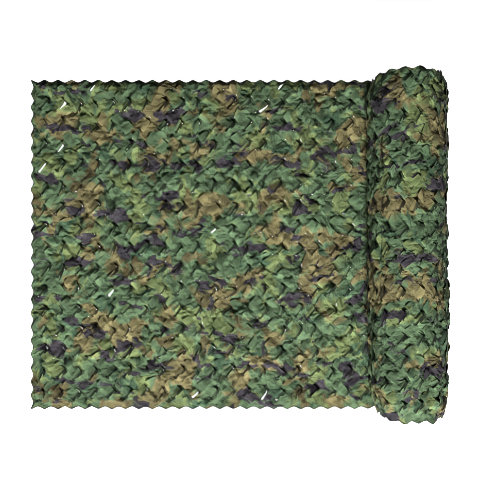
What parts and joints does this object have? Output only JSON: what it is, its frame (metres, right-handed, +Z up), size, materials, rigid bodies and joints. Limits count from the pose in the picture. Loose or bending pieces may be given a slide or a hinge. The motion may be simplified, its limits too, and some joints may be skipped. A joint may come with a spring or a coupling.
{
  "type": "partly unrolled camouflage netting",
  "caption": "Leaf-cut woodland camouflage netting: a flat scalloped loose end that runs under its own wound roll, with raised leaves and see-through slits.",
  "frame": {"origin": "middle of the whole netting's bounding box, on the surface it rests on", "axes": "+X along the loose end towards the roll, +Y along the roll's axis across the net's width, +Z up"},
  "size_m": [1.8744, 1.5096, 0.3433],
  "materials": {
    "netting_cloth": "matt woven polyester printed in greens, olive brown and near-black patches, raw cut leaf edges",
    "netting_cloth_rolled": "the same printed polyester, wound with its leaves standing out of every turn"
  },
  "bodies": {
    "root": {"netting_loose_end": "netting_cloth", "netting_roll": "netting_cloth_rolled"}
  },
  "joints": []
}
